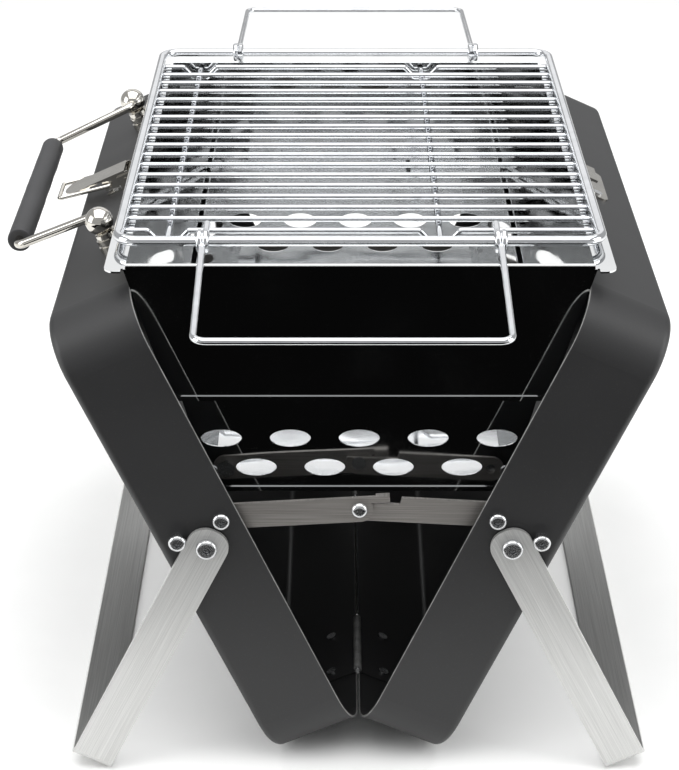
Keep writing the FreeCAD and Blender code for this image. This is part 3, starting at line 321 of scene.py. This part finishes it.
def mirror_sheet(name, hairline):
    """Mirror polished stainless: clear reflections with slight waves, hairlines and smears."""
    material, tree, shader = new_finish(name)
    place = add_node(tree, "ShaderNodeTexCoord").outputs["Object"]
    lines = []
    for turn, stretch in ((0.35, 18), (-0.8, 11), (1.25, 14)):
        shape = (1 / (stretch * MM), 1 / (3 * MM), 1 / (0.35 * MM))
        turned = add_node(tree, "ShaderNodeMapping", None,
                          {"Vector": place, "Rotation": (0.2, turn, 0.1), "Scale": shape})
        noise = add_node(tree, "ShaderNodeTexNoise", None,
                         {"Vector": turned.outputs["Vector"], "Scale": 1.0, "Detail": 1.0})
        thin = add_node(tree, "ShaderNodeMapRange", None,
                        {"Value": noise.outputs["Fac"], "From Min": 0.74, "From Max": 0.84,
                         "To Min": 0.0, "To Max": 1.0})
        lines.append(thin.outputs["Result"])
    pair = add_node(tree, "ShaderNodeMath", {"operation": "MAXIMUM"}, {0: lines[0], 1: lines[1]})
    scratches = add_node(tree, "ShaderNodeMath", {"operation": "MAXIMUM"},
                         {0: pair.outputs[0], 1: lines[2]})
    smear = add_node(tree, "ShaderNodeTexNoise", None,
                     {"Vector": place, "Scale": 1 / (45 * MM), "Detail": 4.0})
    base_gloss = add_node(tree, "ShaderNodeMapRange", None,
                          {"Value": smear.outputs["Fac"], "From Min": 0.45, "From Max": 0.75,
                           "To Min": 0.035, "To Max": 0.12})
    gloss = add_node(tree, "ShaderNodeMath", {"operation": "MULTIPLY_ADD"},
                     {0: scratches.outputs[0], 1: hairline, 2: base_gloss.outputs["Result"]})
    tree.links.new(gloss.outputs[0], shader.inputs["Roughness"])
    tint = add_node(tree, "ShaderNodeMix", {"data_type": "RGBA"}, {"Factor": smear.outputs["Fac"]})
    tint.inputs["A"].default_value = hex_colour("#d3d4d5")
    tint.inputs["B"].default_value = hex_colour("#e2e3e3")
    tree.links.new(tint.outputs["Result"], shader.inputs["Base Color"])
    wave = add_node(tree, "ShaderNodeTexNoise", None,
                    {"Vector": place, "Scale": 1 / (60 * MM), "Detail": 1.0})
    sway = add_node(tree, "ShaderNodeBump", None,
                    {"Height": wave.outputs["Fac"], "Strength": 0.3, "Distance": 1.2 * MM})
    cut = add_node(tree, "ShaderNodeBump", None,
                   {"Height": scratches.outputs[0], "Strength": 0.05, "Distance": 0.02 * MM,
                    "Normal": sway.outputs["Normal"]})
    tree.links.new(cut.outputs["Normal"], shader.inputs["Normal"])
    shader.inputs["Metallic"].default_value = 1.0
    return material


firebox_sheets = [name for name in nodes if name.startswith("firebox")]
pan_sheets = [name for name in nodes if name.startswith("charcoal_pan") and "rivets" not in name]
dress(firebox_sheets, mirror_sheet("mirror_stainless_firebox", 0.1))
dress(pan_sheets, mirror_sheet("mirror_stainless_pan", 0.14))

# ---------------------------------------------------------------- grate and its handles
# Steel wire, resistance welded at the crossings and bright chromed all over.
# Chrome is bluish and very glossy, with tiny drawing lines along the wire.


def bright_chrome(name, warm=False):
    """Bright electroplated wire or turned steel: sharp reflections, faintly cloudy in places."""
    material, tree, shader = new_finish(name)
    place = add_node(tree, "ShaderNodeTexCoord").outputs["Object"]
    cloud = add_node(tree, "ShaderNodeTexNoise", None,
                     {"Vector": place, "Scale": 1 / (14 * MM), "Detail": 5.0})
    fine = add_node(tree, "ShaderNodeTexNoise", None,
                    {"Vector": place, "Scale": 1 / (1.1 * MM), "Detail": 2.0})
    tint = add_node(tree, "ShaderNodeMix", {"data_type": "RGBA"}, {"Factor": cloud.outputs["Fac"]})
    tint.inputs["A"].default_value = hex_colour("#bdb9b2" if warm else "#c4c6c9")
    tint.inputs["B"].default_value = hex_colour("#dad7d0" if warm else "#e6e7e9")
    tree.links.new(tint.outputs["Result"], shader.inputs["Base Color"])
    gloss = add_node(tree, "ShaderNodeMapRange", None,
                     {"Value": cloud.outputs["Fac"], "To Min": 0.03, "To Max": 0.14})
    tree.links.new(gloss.outputs["Result"], shader.inputs["Roughness"])
    skin = add_node(tree, "ShaderNodeBump", None,
                    {"Height": fine.outputs["Fac"], "Strength": 0.12, "Distance": 0.04 * MM})
    tree.links.new(skin.outputs["Normal"], shader.inputs["Normal"])
    shader.inputs["Metallic"].default_value = 1.0
    return material


wire_chrome = bright_chrome("bright_chrome_wire")
dress([name for name in nodes if name.startswith("grate_") or name.endswith("grate_handle")], wire_chrome)

# ---------------------------------------------------------------- carry handle
# Nickel plated turned posts with ball heads, a bent nickel plated rod, and a slipped-on foam sleeve.
# The sleeve is dense closed-cell foam: matt, slightly uneven, with square-cut ends.
turned_nickel = bright_chrome("nickel_plated_steel", warm=True)
dress(["handle_posts", "handle_rod"], turned_nickel)

SLEEVE_FIT = 0.985
SLEEVE_RINGS = 24
grip_low, grip_high = (Vector(corner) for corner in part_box("handle_grip"))
grip_middle = (grip_low + grip_high) / 2
grip_radius = (grip_high.z - grip_low.z) / 2
grip_length = grip_high.y - grip_low.y
bpy.ops.object.select_all(action="DESELECT")
bpy.ops.mesh.primitive_cylinder_add(vertices=40, radius=grip_radius * SLEEVE_FIT, depth=grip_length,
                                    location=grip_middle, rotation=(math.radians(90), 0, 0))
sleeve = bpy.context.object
sleeve.name = "handle_foam_sleeve"
bpy.ops.object.transform_apply(location=True, rotation=True, scale=True)
bpy.ops.object.mode_set(mode="EDIT")
for step in range(1, SLEEVE_RINGS):
    bpy.ops.mesh.select_all(action="SELECT")
    spot = grip_low.y + grip_length * step / SLEEVE_RINGS
    bpy.ops.mesh.bisect(plane_co=(0, spot, 0), plane_no=(0, 1, 0))
bpy.ops.mesh.select_mode(type="FACE")
bpy.ops.mesh.select_all(action="DESELECT")
bpy.ops.object.mode_set(mode="OBJECT")
for face in sleeve.data.polygons:
    face.select = abs(face.normal.y) > 0.9
bpy.ops.object.mode_set(mode="EDIT")
bpy.ops.mesh.inset(thickness=2.0 * MM)
bpy.ops.mesh.inset(thickness=1.6 * MM, depth=-1.0 * MM)
bpy.ops.object.mode_set(mode="OBJECT")
bevel = sleeve.modifiers.new("eased_ends", "BEVEL")
bevel.width = 0.8 * MM
bevel.segments = 4
bevel.limit_method = "ANGLE"
bevel.angle_limit = math.radians(50)
uneven_foam = bpy.data.textures.new("uneven_foam", "CLOUDS")
uneven_foam.noise_scale = 11 * MM
swell = sleeve.modifiers.new("uneven", "DISPLACE")
swell.texture = uneven_foam
swell.texture_coords = "LOCAL"
swell.strength = 0.5 * MM
swell.mid_level = 0.75
for modifier in list(sleeve.modifiers):
    bpy.ops.object.modifier_apply(modifier=modifier.name)
bpy.ops.object.shade_smooth_by_angle(angle=math.radians(40))

foam, tree, shader = new_finish("closed_cell_foam")
place = add_node(tree, "ShaderNodeTexCoord").outputs["Object"]
cells = add_node(tree, "ShaderNodeTexVoronoi", None, {"Vector": place, "Scale": 1 / (1.1 * MM)})
haze = add_node(tree, "ShaderNodeTexNoise", None, {"Vector": place, "Scale": 1 / (20 * MM), "Detail": 4.0})
tint = add_node(tree, "ShaderNodeMix", {"data_type": "RGBA"}, {"Factor": haze.outputs["Fac"]})
tint.inputs["A"].default_value = hex_colour("#1e1e1f")
tint.inputs["B"].default_value = hex_colour("#39393b")
tree.links.new(tint.outputs["Result"], shader.inputs["Base Color"])
dry = add_node(tree, "ShaderNodeMapRange", None,
               {"Value": haze.outputs["Fac"], "To Min": 0.5, "To Max": 0.7})
tree.links.new(dry.outputs["Result"], shader.inputs["Roughness"])
pores = add_node(tree, "ShaderNodeBump", None,
                 {"Height": cells.outputs["Distance"], "Strength": 0.4, "Distance": 0.15 * MM})
tree.links.new(pores.outputs["Normal"], shader.inputs["Normal"])
sleeve.data.materials.append(foam)
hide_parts("handle_grip")
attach(sleeve, "carry_handle")

# ---------------------------------------------------------------- toggle latch and catch
# Pressed from thin steel sheet and nickel plated; a spring wire bail joins the lever to the catch plate.
dress(["latch_base", "latch_lever", "latch_pin", "latch_bail", "catch_plate"], turned_nickel)
